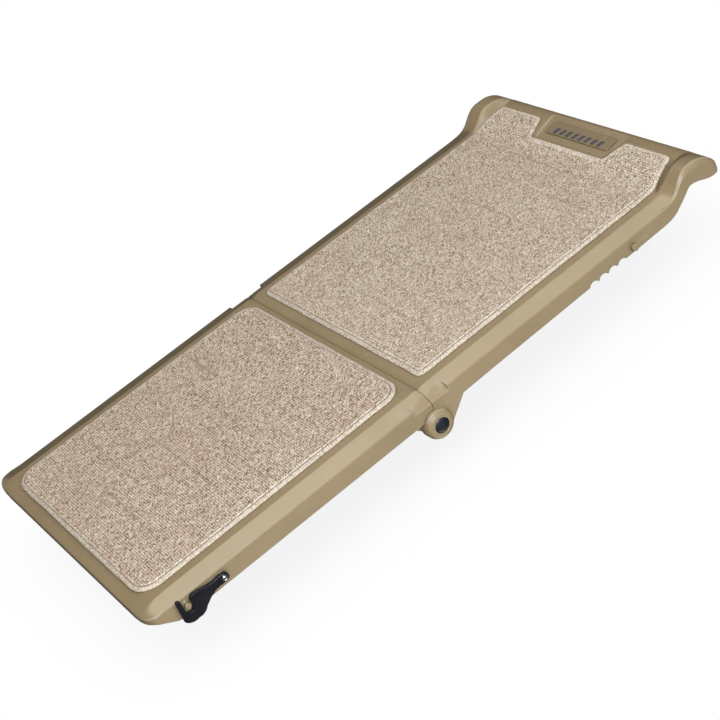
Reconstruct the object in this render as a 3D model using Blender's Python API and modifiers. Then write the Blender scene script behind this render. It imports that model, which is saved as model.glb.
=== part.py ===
"""Folding dog ramp: two moulded panels hinged at the seam, carpet treads and a side latch.

Lengths are metres. Shapes are drawn in ramp coordinates: X runs up the ramp from the seam (the
ground end is at -X, the lip at +X), Y is across the ramp and Z = 0 is the bottom edge of the side
walls. An empty shifts the whole ramp so that it stands on Z = 0 with its middle over the origin.
"""
import math

import bmesh
import bpy
from mathutils import Matrix, Vector

# ---------------------------------------------------------------- driving dimensions
GROUND_X = -0.4544          # ground edge of the lower panel
NOSE_X = 0.5205             # tip of the lip on the upper panel
HALF_WIDTH = 0.2436
SEAM_X = -0.003
SEAM_GAP = 0.0008
DECK_Z = 0.032              # top of the decks
EDGE_Z = 0.027              # where the chamfer meets the side wall
CHAMFER = 0.025             # width of the sloping margin
WALL = 0.0032
SKIN = 0.0035               # thickness of the deck plate
RIB = 0.003
RIB_BOTTOM_Z = 0.0215
GROUND_CORNER = (0.0158, 0.0331)   # how far the ground corners curve, along X and Y
GAP = 0.0003                # clearance between pieces that touch

PIN_X = -0.006
PIN_Z = -0.013
PIN_RADIUS = 0.006
BOSS_RADIUS = 0.0215
LUG_RADIUS = 0.0165
CAP_RADIUS = 0.0107
EAR_INNER_Y = 0.2336
BOSS_FACE_Y = 0.2520
LUG_Y = (0.2206, 0.2306)
BLOCK_X = 0.050             # how far the solid hinge blocks reach from the seam
BLOCK_Y = 0.2045

CARPET_THICKNESS = 0.0045
CARPET_HALF_WIDTH = 0.2035
CARPET_END_X = 0.4895
NOTCH_X = 0.4555
NOTCH_HALF_WIDTH = 0.0845
NOTCH_MOUTH_HALF_WIDTH = 0.099

PIVOT_X = -0.345
PIVOT_Z = 0.0145
HOOK_REACH = 0.0555
HOOK_THICKNESS = 0.0045
MOUTH_RADIUS = 0.0058
NUB_X = 0.350
NUB_Z = 0.015

FINGER_FIRST_X = 0.2766
FINGER_PITCH = 0.0172
FINGER_RADIUS = 0.0092
FINGER_COUNT = 4

# long profiles as (x, z): tread along the middle, crest and rim of the sloping margin, bottom edge
TREAD_LINE = ((SEAM_X, 0.0288), (0.001, 0.0304), (0.007, 0.0316), (0.013, DECK_Z), (0.418, DECK_Z),
              (0.430, 0.0325), (0.441, 0.0342), (0.4533, 0.0395), (0.4671, 0.0435), (0.478, 0.0452),
              (0.490, 0.0465), (0.499, 0.0472), (0.507, 0.0467), (0.5125, 0.0451), (0.5165, 0.0420),
              (0.5192, 0.0380), (NOSE_X, 0.0335))
CREST_LINE = ((SEAM_X, 0.0288), (0.001, 0.0304), (0.007, 0.0316), (0.013, DECK_Z), (0.418, DECK_Z),
              (0.430, 0.0328), (0.437, 0.0348), (0.4435, 0.0385), (0.4505, 0.0432), (0.4585, 0.0492),
              (0.4662, 0.0540), (0.4777, 0.0564), (0.4897, 0.0552), (0.5003, 0.0518), (0.510, 0.0468),
              (0.5165, 0.0415), (0.5195, 0.0370), (NOSE_X, 0.0335))
RIM_LINE = ((SEAM_X, 0.0240), (0.001, 0.0255), (0.007, 0.0266), (0.013, EDGE_Z), (0.395, 0.0271),
            (0.415, 0.0275), (0.428, 0.0288), (0.4345, 0.0310), (0.4411, 0.0352), (0.4533, 0.0470),
            (0.4629, 0.0538), (0.4726, 0.0566), (0.4853, 0.0568), (0.495, 0.0550), (0.5039, 0.0515),
            (0.511, 0.0468), (0.5165, 0.0412), (0.5195, 0.0365), (NOSE_X, 0.0330))
BOTTOM_LINE = ((0.020, 0.0), (0.065, 0.0012), (0.200, 0.0025), (0.395, 0.0048), (0.414, 0.0054),
               (0.424, 0.0068), (0.4330, 0.0100), (0.4433, 0.0163), (0.4561, 0.0246), (0.463, 0.0300),
               (0.467, 0.0316), (0.472, 0.0314), (0.4786, 0.0299), (0.501, 0.0219), (0.508, 0.0208),
               (0.514, 0.0212), (0.5185, 0.0243), (NOSE_X, 0.0285))
GROUND_LINE = ((GROUND_X, 0.0248), (-0.4541, 0.0259), (-0.4531, 0.0268), (-0.4510, 0.0275),
               (-0.4450, 0.0287), (-0.4365, 0.0304), (-0.4315, 0.0314), (-0.4280, DECK_Z),
               (-0.016, DECK_Z), (-0.010, 0.0319), (-0.006, 0.0313), (SEAM_X, 0.0302))
GROUND_BOTTOM_LINE = ((GROUND_X, 0.0182), (-0.4465, 0.0182), (-0.4435, 0.0172), (-0.4390, 0.0148),
                      (-0.4240, 0.0055), (-0.4185, 0.0022), (-0.4130, 0.0005), (-0.4080, 0.0))
LIP_CEILING = ((0.413, 0.0275), (0.429, 0.0282), (0.440, 0.0295), (0.452, 0.0340), (0.464, 0.0385),
               (0.478, 0.0408), (0.490, 0.0420), (0.500, 0.0420), (0.505, 0.0400))
LIP_CEILING_AT_PLATE = ((0.413, 0.0275), (0.429, 0.0282), (0.440, 0.0295), (0.452, 0.0315),
                        (0.464, 0.0325), (0.505, 0.0325))

STAND_Z = BOSS_RADIUS - PIN_Z                      # the hinge bosses touch the floor
CENTRE_X = (GROUND_X + NOSE_X) / 2

SIDES = (("right", -1), ("left", 1))
LATCH_SIDE = "right"                               # the latch, its nub and the finger grooves
BODY_ORIGIN = {
    "upper": Vector((0, 0, 0)),
    "lower": Vector((PIN_X, 0, PIN_Z)),
    "hook": Vector((PIVOT_X, -HALF_WIDTH, PIVOT_Z)),
}


# ---------------------------------------------------------------- scene and materials
def clear_scene():
    for item in list(bpy.data.objects):
        bpy.data.objects.remove(item, do_unlink=True)


def make_collection(name):
    collection = bpy.data.collections.new(name)
    bpy.context.scene.collection.children.link(collection)
    return collection


def make_material(name, colour, roughness, metallic=0.0):
    material = bpy.data.materials.new(name)
    material.use_nodes = True
    shader = material.node_tree.nodes["Principled BSDF"]
    shader.inputs["Base Color"].default_value = (*colour, 1.0)
    shader.inputs["Roughness"].default_value = roughness
    shader.inputs["Metallic"].default_value = metallic
    return material


clear_scene()
PARTS = make_collection("dog_ramp")
CUTTERS = make_collection("dog_ramp_cutters")
PLASTIC = make_material("tan_plastic", (0.434, 0.342, 0.205), 0.5)
PLATE_PLASTIC = make_material("plate_plastic", (0.30, 0.24, 0.145), 0.5)
CARPET = make_material("carpet", (0.47, 0.38, 0.29), 0.95)
BLACK_PLASTIC = make_material("black_plastic", (0.012, 0.013, 0.019), 0.4)
RUBBER = make_material("black_rubber", (0.015, 0.015, 0.015), 0.85)
STEEL = make_material("zinc_steel", (0.62, 0.62, 0.60), 0.3, 1.0)
NYLON = make_material("natural_nylon", (0.72, 0.70, 0.63), 0.45)
FASTENER = make_material("hook_tape", (0.03, 0.03, 0.03), 0.9)


def make_empty(name, location, parent=None):
    empty = bpy.data.objects.new(name, None)
    empty.empty_display_size = 0.03
    empty.location = location
    empty.parent = parent
    PARTS.objects.link(empty)
    return empty


def make_frames():
    """One empty for the standing ramp and one on each joint's axis."""
    ramp = make_empty("ramp_frame", (-CENTRE_X, 0, STAND_Z))
    frames = {"upper": ramp}
    frames["lower"] = make_empty("fold_axis", BODY_ORIGIN["lower"], ramp)
    frames["hook"] = make_empty("hook_axis", BODY_ORIGIN["hook"] - BODY_ORIGIN["lower"], frames["lower"])
    return frames


FRAMES = make_frames()


# ---------------------------------------------------------------- mesh helpers
def add_object(name, mesh, material=None, body="upper", cutter=False):
    """Adds a mesh drawn in ramp coordinates, as a part that rides on a body or as a cutter."""
    part = bpy.data.objects.new(name, mesh)
    part.parent = FRAMES[body]
    part.location = -BODY_ORIGIN[body]
    if cutter:
        part.hide_render = True
        part.display_type = "WIRE"
        CUTTERS.objects.link(part)
        return part
    part.data.materials.clear()
    part.data.materials.append(material)
    PARTS.objects.link(part)
    return part


def mesh_from_bmesh(name, bm):
    bmesh.ops.recalc_face_normals(bm, faces=bm.faces)
    mesh = bpy.data.meshes.new(name)
    bm.to_mesh(mesh)
    bm.free()
    return mesh


def loft_mesh(name, rings):
    """Joins rings of equal length with quads and closes both ends."""
    bm = bmesh.new()
    loops = [[bm.verts.new(point) for point in ring] for ring in rings]
    count = len(rings[0])
    for first, second in zip(loops, loops[1:]):
        for i in range(count):
            j = (i + 1) % count
            bm.faces.new((first[i], first[j], second[j], second[i]))
    bm.faces.new(loops[0])
    bm.faces.new(loops[-1])
    return mesh_from_bmesh(name, bm)


PLANE_AXES = {
    "xy": Matrix.Identity(4),
    "xz": Matrix(((1, 0, 0, 0), (0, 0, -1, 0), (0, 1, 0, 0), (0, 0, 0, 1))),
    "yz": Matrix(((0, 0, 1, 0), (1, 0, 0, 0), (0, 1, 0, 0), (0, 0, 0, 1))),
}


def plate_mesh(name, outline, low, high, plane="xy"):
    """Extrudes a flat outline between two heights on the axis normal to its plane."""
    curve = bpy.data.curves.new(name, "CURVE")
    curve.dimensions = "2D"
    curve.fill_mode = "BOTH"
    curve.extrude = (high - low) / 2
    spline = curve.splines.new("POLY")
    spline.points.add(len(outline) - 1)
    for point, (u, v) in zip(spline.points, outline):
        point.co = (u, v, 0, 1)
    spline.use_cyclic_u = True
    holder = bpy.data.objects.new(name, curve)
    bpy.context.scene.collection.objects.link(holder)
    bpy.context.view_layer.update()
    mesh = bpy.data.meshes.new_from_object(holder.evaluated_get(bpy.context.evaluated_depsgraph_get()))
    bpy.data.objects.remove(holder)
    mesh.name = name
    bm = bmesh.new()
    bm.from_mesh(mesh)
    bmesh.ops.remove_doubles(bm, verts=bm.verts, dist=0.00001)
    middle = (low + high) / 2
    if plane == "xz":
        middle = -middle
    bmesh.ops.transform(bm, verts=bm.verts, matrix=PLANE_AXES[plane] @ Matrix.Translation((0, 0, middle)))
    bmesh.ops.recalc_face_normals(bm, faces=bm.faces)
    bm.to_mesh(mesh)
    bm.free()
    return mesh


def boxes_mesh(name, boxes):
    """Several separate boxes in one mesh, each given as (low corner, high corner)."""
    bm = bmesh.new()
    for low, high in boxes:
        low, high = Vector(low), Vector(high)
        size = Matrix.Diagonal((*(high - low), 1))
        bmesh.ops.create_cube(bm, size=1, matrix=Matrix.Translation((low + high) / 2) @ size)
    return mesh_from_bmesh(name, bm)


def rods_mesh(name, rods, segments=40):
    """Cylinders along Y in one mesh, each given as (x, z, y from, y to, radius)."""
    bm = bmesh.new()
    for x, z, y_from, y_to, radius in rods:
        place = Matrix.Translation((x, (y_from + y_to) / 2, z)) @ Matrix.Rotation(math.pi / 2, 4, "X")
        bmesh.ops.create_cone(bm, cap_ends=True, segments=segments, radius1=radius, radius2=radius,
                              depth=abs(y_to - y_from), matrix=place)
    return mesh_from_bmesh(name, bm)


def turned_part(name, profile, material, x, z, sign, body="upper", steps=40):
    """Turns a profile of (radius, |y|) points, outer side first, about an axis along Y."""
    mesh = bpy.data.meshes.new(name)
    points = [(radius, 0, out) for radius, out in profile]
    closed = profile[0][0] > 0
    count = len(points)
    edges = [(i, (i + 1) % count) for i in range(count if closed else count - 1)]
    mesh.from_pydata(points, edges, [])
    part = add_object(name, mesh, material, body)
    part.location = Vector((x, 0, z)) - BODY_ORIGIN[body]
    part.rotation_euler = (math.pi / 2 if sign < 0 else -math.pi / 2, 0, 0)
    screw = part.modifiers.new("turn", "SCREW")
    screw.steps = steps
    screw.render_steps = steps
    screw.use_merge_vertices = True
    screw.merge_threshold = 0.00001
    screw.use_smooth_shade = False
    return part


def apply_boolean(part, cutter, operation="DIFFERENCE"):
    modifier = part.modifiers.new(cutter.name, "BOOLEAN")
    modifier.object = cutter
    modifier.operation = operation
    modifier.solver = "EXACT"


def cut(part, name, mesh, body):
    apply_boolean(part, add_object(name, mesh, body=body, cutter=True))


def join(part, name, mesh, body):
    apply_boolean(part, add_object(name, mesh, body=body, cutter=True), "UNION")


# ---------------------------------------------------------------- curves and outlines
def smooth_line(points, x):
    """Height at x on a smooth curve through the points, without overshoot; flat beyond its ends."""
    if x <= points[0][0]:
        return points[0][1]
    if x >= points[-1][0]:
        return points[-1][1]
    slopes = [(b[1] - a[1]) / (b[0] - a[0]) for a, b in zip(points, points[1:])]
    tangents = [slopes[0]]
    for left, right in zip(slopes, slopes[1:]):
        tangents.append(0.0 if left * right <= 0 else 2 * left * right / (left + right))
    tangents.append(slopes[-1])
    i = max(k for k, point in enumerate(points[:-1]) if point[0] <= x)
    (x0, z0), (x1, z1) = points[i], points[i + 1]
    width = x1 - x0
    t = (x - x0) / width
    return ((2 * t**3 - 3 * t**2 + 1) * z0 + (t**3 - 2 * t**2 + t) * width * tangents[i]
            + (3 * t**2 - 2 * t**3) * z1 + (t**3 - t**2) * width * tangents[i + 1])


def arc(centre_u, centre_v, radius, start, end, steps):
    """Points on an arc, angles in degrees, both ends included."""
    turns = [math.radians(start + (end - start) * i / steps) for i in range(steps + 1)]
    return [(centre_u + radius * math.cos(turn), centre_v + radius * math.sin(turn)) for turn in turns]


def rounded_outline(corners, steps=6):
    """A polygon of (u, v, radius) corners with each corner rounded by its radius."""
    outline = []
    count = len(corners)
    for i, (u, v, radius) in enumerate(corners):
        corner = Vector((u, v))
        before = (Vector(corners[i - 1][:2]) - corner).normalized()
        after = (Vector(corners[(i + 1) % count][:2]) - corner).normalized()
        if radius <= 0:
            outline.append((u, v))
            continue
        half = before.angle(after) / 2
        centre = corner + (before + after).normalized() * (radius / math.sin(half))
        start = corner + before * (radius / math.tan(half)) - centre
        sweep = math.pi - 2 * half
        if before.cross(after) > 0:
            sweep = -sweep
        for k in range(steps + 1):
            turn = Matrix.Rotation(sweep * k / steps, 2)
            outline.append(tuple(centre + turn @ start))
    return outline


def mirrored(half):
    """Closes an outline drawn on the +Y side by repeating it on the -Y side."""
    return half + [(x, -y) for x, y in reversed(half)]


# ---------------------------------------------------------------- the two moulded panels
def bezier(start, middle, end, steps):
    """Points on a quadratic curve, both ends included."""
    points = []
    for i in range(steps + 1):
        t = i / steps
        points.append(tuple((1 - t)**2 * a + 2 * t * (1 - t) * b + t**2 * c
                            for a, b, c in zip(start, middle, end)))
    return points


def panel_ring(x, half_width, heights, margin, run, edge_radius, crest_radius):
    """One cross-section of a panel: wall, rounded edge, outer slope, crest, inner slope and tread."""
    bottom_z, rim_z, crest_z, tread_z = heights
    radius = min(edge_radius, 0.4 * (rim_z - bottom_z))
    half = [(half_width, bottom_z)]
    for degrees in (0, 18, 36, 54, 72, 90):
        turn = math.radians(degrees)
        half.append((half_width - radius * (1 - math.cos(turn)), rim_z - radius * (1 - math.sin(turn))))
    crest_y = half_width - margin
    foot_y = crest_y - run
    outer_slope = (rim_z - crest_z) / (margin - radius)
    inner_slope = (crest_z - tread_z) / run
    inner_reach = min(crest_radius, 0.45 * run)
    half += bezier((crest_y + crest_radius, crest_z + outer_slope * crest_radius), (crest_y, crest_z),
                   (crest_y - inner_reach, crest_z - inner_slope * inner_reach), 4)
    foot_reach = min(0.0018, inner_reach)
    half += bezier((foot_y + foot_reach, tread_z + inner_slope * foot_reach), (foot_y, tread_z),
                   (foot_y - foot_reach, tread_z), 2)
    left = [Vector((x, y, z)) for y, z in half]
    right = [Vector((x, -y, z)) for y, z in reversed(half)]
    return left + right


def upper_stations():
    """Where the upper panel's sections lie: close together at the seam and on the lip."""
    seam = [SEAM_X + SEAM_GAP / 2, -0.001, 0.002, 0.0065, 0.013]
    flat = [0.10, 0.20, 0.30, 0.38]
    lip = [0.400, 0.407, 0.414, 0.420] + [0.4255 + 0.0045 * i for i in range(17)]
    nose = [0.5025, 0.507, 0.511, 0.514, 0.5165, 0.5185, 0.520, NOSE_X]
    return seam + flat + lip + nose


def upper_half_width(x):
    nose_radius = 0.008
    beyond = x - (NOSE_X - nose_radius)
    if beyond <= 0:
        return HALF_WIDTH
    return HALF_WIDTH - nose_radius + math.sqrt(max(nose_radius**2 - beyond**2, 0.0))


def upper_shell_mesh():
    rings = []
    for x in upper_stations():
        band = min(max((x - 0.418) / 0.030, 0.0), 1.0)
        lip = min(max((x - 0.435) / 0.040, 0.0), 1.0)
        heights = [smooth_line(line, x) for line in (BOTTOM_LINE, RIM_LINE, CREST_LINE, TREAD_LINE)]
        rings.append(panel_ring(x, upper_half_width(x), heights, CHAMFER + 0.007 * band,
                                0.0075 + 0.006 * lip, 0.003 + 0.006 * lip, 0.008 - 0.004 * band))
    return loft_mesh("upper_ramp", rings)


def lower_shell_mesh():
    corner_x, corner_y = GROUND_CORNER
    rings = []
    for step in range(12):
        turn = math.radians(90 * step / 11)
        x = GROUND_X + corner_x * (1 - math.cos(turn))
        half_width = HALF_WIDTH - corner_y * (1 - math.sin(turn))
        rings.append((x, half_width))
    straight = (-0.4340, -0.4280, -0.4240, -0.4185, -0.4130, -0.4080)
    straight += (-0.30, -0.20, -0.10, -0.016, -0.010, -0.006)
    rings += [(x, HALF_WIDTH) for x in straight + (SEAM_X - SEAM_GAP / 2,)]
    sections = []
    for x, half_width in rings:
        tread_z = smooth_line(GROUND_LINE, x)
        bottom_z = smooth_line(GROUND_BOTTOM_LINE, x)
        rim_z = bottom_z + (tread_z - bottom_z) * EDGE_Z / DECK_Z
        heights = (bottom_z, rim_z, tread_z, tread_z)
        sections.append(panel_ring(x, half_width, heights, CHAMFER, 0.008, 0.003, 0.008))
    return loft_mesh("lower_ramp", sections)


def rib_cells(first_x, last_x, rows):
    """Pockets between the shallow ribs under a deck, as boxes."""
    columns = 3
    inner, outer = RIB / 2, 0.202
    pitch_y = (outer - inner + RIB) / columns
    pitch_x = (last_x - first_x + RIB) / rows
    cells = []
    for row in range(rows):
        x = first_x + row * pitch_x
        for column in range(columns):
            y = inner + column * pitch_y
            size_y = pitch_y - RIB
            for low_y in (y, -y - size_y):
                low = (x, low_y, 0.015)
                high = (x + pitch_x - RIB, low_y + size_y, DECK_Z - SKIN)
                cells.append((low, high))
    return cells


def patch_places(body):
    """Centres of the hook-tape patches that hold each carpet, as (x, y)."""
    ends = (0.060, 0.370) if body == "upper" else (-0.385, -0.065)
    return [(x, y) for x in ends for y in (-0.150, 0.150)]


PATCH_SIZE = (0.050, 0.025)
PATCH_THICKNESS = 0.0012
PATCH_POCKET = 0.0016


def patch_pockets(body):
    boxes = []
    half_x, half_y = PATCH_SIZE[0] / 2 + GAP, PATCH_SIZE[1] / 2 + GAP
    for x, y in patch_places(body):
        boxes.append(((x - half_x, y - half_y, DECK_Z - PATCH_POCKET), (x + half_x, y + half_y, 0.06)))
    return boxes


def edge_pocket_mesh(name, from_x, to_x, sign):
    """A shallow slanted pocket over the outer edge, beside the seam."""
    outline = [(-0.2285, 0.0307), (-0.2285, 0.050), (-0.260, 0.050), (-0.260, 0.0055)]
    if sign > 0:
        outline = [(-y, z) for y, z in outline]
    return plate_mesh(name, outline, from_x, to_x, "yz")


def ear_outline():
    """The upper panel's hinge ear: a block over a round boss, with a slanting front edge."""
    top = 0.012
    front_x = 0.046
    seam = SEAM_X + SEAM_GAP / 2
    seam_angle = math.degrees(math.acos((seam - PIN_X) / BOSS_RADIUS))
    to_front = Vector((front_x - PIN_X, 0.003 - PIN_Z))
    tangent = math.degrees(math.atan2(to_front.y, to_front.x) - math.acos(BOSS_RADIUS / to_front.length))
    boss = arc(PIN_X, PIN_Z, BOSS_RADIUS, seam_angle, tangent + 360, 36)
    return [(front_x, 0.003), (front_x, top), (seam, top)] + boss


def boss_mesh(sign):
    """The rounded boss that stands out from the ear round the hinge cap."""
    profile = ((0.0208, 0.2396), (0.0208, 0.2448), (0.0204, 0.2468), (0.0195, 0.2487), (0.0181, 0.2503),
               (0.0163, 0.2514), (0.0142, BOSS_FACE_Y))
    rings = []
    for radius, out in profile:
        circle = arc(PIN_X, PIN_Z, radius, 0, 352.5, 47)
        rings.append([Vector((x, sign * out, z)) for x, z in circle])
    return loft_mesh("boss", rings)


def lug_outline():
    """The lower panel's hinge lug, which hangs from its block around the pin."""
    back_x = -0.046
    to_back = Vector((back_x - PIN_X, 0.003 - PIN_Z))
    tangent = math.degrees(math.atan2(to_back.y, to_back.x) + math.acos(LUG_RADIUS / to_back.length))
    seam = SEAM_X - SEAM_GAP / 2
    seam_angle = math.degrees(math.acos((seam - PIN_X) / LUG_RADIUS))
    barrel = arc(PIN_X, PIN_Z, LUG_RADIUS, tangent, seam_angle + 360, 30)
    return [(seam, 0.012), (back_x, 0.012), (back_x, 0.003)] + barrel


def side_range(sign, near, far):
    """A Y range on one side of the ramp, lower value first."""
    return (near, far) if sign > 0 else (-far, -near)


def build_upper_panel():
    panel = add_object("upper_ramp", upper_shell_mesh(), PLASTIC, "upper")
    inner = HALF_WIDTH - WALL
    cavity = mirrored([(0.0025, BLOCK_Y), (BLOCK_X, BLOCK_Y), (BLOCK_X, inner), (0.410, inner)])
    cut(panel, "upper_cavity", plate_mesh("upper_cavity", cavity, -0.05, RIB_BOTTOM_Z), "upper")
    cells = rib_cells(0.0055, 0.4065, 5)
    cut(panel, "upper_rib_cells", boxes_mesh("upper_rib_cells", cells), "upper")
    lip_mouth = [(0.505, -0.05), (0.413, -0.05)]
    lip_edges = [RIB / 2 + i * (inner - RIB / 2 + RIB) / 3 for i in range(3)]
    lip_width = (inner - RIB / 2 + RIB) / 3 - RIB
    for index, near in enumerate(lip_edges):
        for side, sign in SIDES:
            name = f"lip_cell_{index}_{side}"
            lip_profile = lip_mouth + list(LIP_CEILING if index else LIP_CEILING_AT_PLATE)
            low, high = side_range(sign, near, near + lip_width)
            cut(panel, name, plate_mesh(name, lip_profile, low, high, "xz"), "upper")
    for side, sign in SIDES:
        low, high = side_range(sign, EAR_INNER_Y, HALF_WIDTH)
        ear = plate_mesh(f"ear_{side}", ear_outline(), low, high, "xz")
        join(panel, f"ear_{side}", ear, "upper")
        join(panel, f"boss_{side}", boss_mesh(sign), "upper")
        low, high = side_range(sign, LUG_Y[0] - 0.0025, LUG_Y[1] + 0.0025)
        notch = [((-0.012, low, -0.02), (0.016, high, 0.0075))]
        cut(panel, f"lug_notch_{side}", boxes_mesh(f"lug_notch_{side}", notch), "upper")
        low, high = side_range(sign, 0.20, 0.26)
        recess_low, recess_high = side_range(sign, 0.2497, 0.26)
        seat_low, seat_high = side_range(sign, 0.2425, 0.26)
        cut(panel, f"pin_bore_{side}", rods_mesh("bore", [(PIN_X, PIN_Z, low, high, 0.0063)]), "upper")
        cut(panel, f"pin_seat_{side}", rods_mesh("seat", [(PIN_X, PIN_Z, seat_low, seat_high, 0.0082)]),
            "upper")
        cut(panel, f"cap_recess_{side}",
            rods_mesh("recess", [(PIN_X, PIN_Z, recess_low, recess_high, CAP_RADIUS + 0.0004)]), "upper")
        cut(panel, f"upper_edge_pocket_{side}", edge_pocket_mesh("pocket", -0.010, 0.0260, sign), "upper")
    sign = dict(SIDES)[LATCH_SIDE]
    low, high = side_range(sign, 0.238, 0.2502)
    head_low, head_high = side_range(sign, 0.2500, 0.2530)
    join(panel, "nub_neck", rods_mesh("neck", [(NUB_X, NUB_Z, low, high, 0.0038)], 28), "upper")
    join(panel, "nub_head", rods_mesh("head", [(NUB_X, NUB_Z, head_low, head_high, 0.0052)], 32), "upper")
    fingers = []
    low, high = side_range(sign, 0.2300, 0.2500)
    for i in range(FINGER_COUNT):
        fingers.append((FINGER_FIRST_X + i * FINGER_PITCH, -0.0005, low, high, FINGER_RADIUS - 0.0007))
    cut(panel, "finger_grooves", rods_mesh("grooves", fingers, 36), "upper")
    cut(panel, "upper_patch_pockets", boxes_mesh("upper_patches", patch_pockets("upper")), "upper")
    cut(panel, "name_plate_recess", name_plate_recess_mesh(), "upper")
    return panel


def build_lower_panel():
    panel = add_object("lower_ramp", lower_shell_mesh(), PLASTIC, "lower")
    inner = HALF_WIDTH - WALL
    corner_x = GROUND_X + 0.024
    corner_y = HALF_WIDTH - GROUND_CORNER[1]
    corner = []
    for step in range(9):
        turn = math.radians(90 * step / 8)
        corner.append((corner_x - 0.0055 * math.sin(turn), corner_y + (inner - corner_y) * math.cos(turn)))
    cavity = mirrored([(-0.0075, BLOCK_Y), (-BLOCK_X - 0.002, BLOCK_Y), (-BLOCK_X - 0.002, inner)] + corner)
    cut(panel, "lower_cavity", plate_mesh("lower_cavity", cavity, -0.05, RIB_BOTTOM_Z), "lower")
    cells = rib_cells(-0.4225, -0.0105, 5)
    cut(panel, "lower_rib_cells", boxes_mesh("lower_rib_cells", cells), "lower")
    for side, sign in SIDES:
        low, high = side_range(sign, *LUG_Y)
        join(panel, f"lug_{side}", plate_mesh(f"lug_{side}", lug_outline(), low, high, "xz"), "lower")
        low, high = side_range(sign, 0.2130, 0.2380)
        cut(panel, f"lug_bore_{side}", rods_mesh("lug_bore", [(PIN_X, PIN_Z, low, high, 0.0088)]), "lower")
        low, high = side_range(sign, LUG_Y[1] + 0.0022, 0.26)
        cut(panel, f"ear_clearance_{side}",
            rods_mesh("clearance", [(PIN_X, PIN_Z, low, high, BOSS_RADIUS + 0.001)], 64), "lower")
        cut(panel, f"lower_edge_pocket_{side}", edge_pocket_mesh("pocket", -0.032, 0.004, sign), "lower")
    sign = dict(SIDES)[LATCH_SIDE]
    low, high = side_range(sign, 0.2300, 0.2420)
    join(panel, "screw_boss", rods_mesh("boss", [(PIVOT_X, PIVOT_Z, low, high, 0.0062)], 28), "lower")
    low, high = side_range(sign, 0.2200, 0.2500)
    cut(panel, "screw_hole", rods_mesh("hole", [(PIVOT_X, PIVOT_Z, low, high, 0.0026)], 24), "lower")
    stud_x, stud_z = PIVOT_X - HOOK_REACH, PIVOT_Z + 0.001
    low, high = side_range(sign, 0.2380, 0.2448)
    join(panel, "stud_collar", rods_mesh("collar", [(stud_x, stud_z, low, high, 0.0050)], 28), "lower")
    low, high = side_range(sign, 0.2400, 0.2510)
    join(panel, "stud_tip", rods_mesh("tip", [(stud_x, stud_z, low, high, 0.0038)], 24), "lower")
    cut(panel, "lower_patch_pockets", boxes_mesh("lower_patches", patch_pockets("lower")), "lower")
    recess = [((-0.022, -0.199, DECK_Z - 0.0007), (0.01, 0.199, 0.06))]
    cut(panel, "hinge_end_recess", boxes_mesh("recess", recess), "lower")
    return panel


# ---------------------------------------------------------------- treads, plate, tape and rubber
PLATE_FLOOR_X = 0.472       # the recess floor's height is given here, and it slopes up towards the nose
PLATE_FLOOR_Z = 0.0418
PLATE_SLOPE = 0.121
NAME_PLATE_THICKNESS = 0.0017


def plate_floor(x):
    return PLATE_FLOOR_Z + (x - PLATE_FLOOR_X) * PLATE_SLOPE


def trapezoid(near_x, near_half, far_x, far_half, radius):
    """A rounded trapezoid across the lip, wider or narrower towards the nose."""
    corners = [(near_x, -near_half, radius), (far_x, -far_half, radius),
               (far_x, far_half, radius), (near_x, near_half, radius)]
    return rounded_outline(corners, 4)


def name_plate_recess_mesh():
    """The shallow dish in the lip that the name plate lies in, with sloping walls."""
    floor = trapezoid(0.4590, 0.0775, 0.5060, 0.0880, 0.004)
    rim = trapezoid(0.4540, 0.0835, 0.5110, 0.0940, 0.007)
    rings = [[Vector((x, y, plate_floor(x))) for x, y in floor],
             [Vector((x, y, plate_floor(x) + 0.006)) for x, y in rim]]
    return loft_mesh("recess", rings)


def build_name_plate():
    outline = trapezoid(0.4712, 0.0700, 0.4955, 0.0695, 0.003)
    mesh = plate_mesh("name_plate", outline, GAP, GAP + NAME_PLATE_THICKNESS)
    for vertex in mesh.vertices:
        vertex.co.z += plate_floor(vertex.co.x)
    part = add_object("name_plate", mesh, PLATE_PLASTIC, "upper")
    bevel = part.modifiers.new("edges", "BEVEL")
    bevel.width = 0.0006
    bevel.segments = 2
    bevel.limit_method = "ANGLE"


def build_lower_carpet():
    half = CARPET_HALF_WIDTH
    corners = [(-0.4365, -half, 0.032), (-0.0125, -half, 0.030), (-0.0125, half, 0.030),
               (-0.4365, half, 0.032)]
    low = DECK_Z + GAP
    mesh = plate_mesh("lower_carpet", rounded_outline(corners, 10), low, low + CARPET_THICKNESS)
    add_object("lower_carpet", mesh, CARPET, "lower")


def build_upper_carpet():
    """A strip that follows the tread line, trimmed to the carpet's outline."""
    stations = [x for x in upper_stations() if x > 0.008]
    under = [(x, smooth_line(TREAD_LINE, x) + GAP) for x in stations]
    over = [(x, z + CARPET_THICKNESS) for x, z in reversed(under)]
    part = add_object("upper_carpet", plate_mesh("strip", under + over, -0.23, 0.23, "xz"), CARPET, "upper")
    half, end_half = CARPET_HALF_WIDTH, 0.1885
    corners = [(0.0135, -half, 0.010), (0.440, -half, 0.030), (CARPET_END_X, -end_half, 0.006),
               (CARPET_END_X, -NOTCH_MOUTH_HALF_WIDTH, 0.004), (NOTCH_X, -NOTCH_HALF_WIDTH, 0.009),
               (NOTCH_X, NOTCH_HALF_WIDTH, 0.009), (CARPET_END_X, NOTCH_MOUTH_HALF_WIDTH, 0.004),
               (CARPET_END_X, end_half, 0.006), (0.440, half, 0.030), (0.0135, half, 0.010)]
    outline = plate_mesh("upper_carpet_outline", rounded_outline(corners), 0.0, 0.09)
    trim = add_object("upper_carpet_outline", outline, body="upper", cutter=True)
    apply_boolean(part, trim, "INTERSECT")


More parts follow.
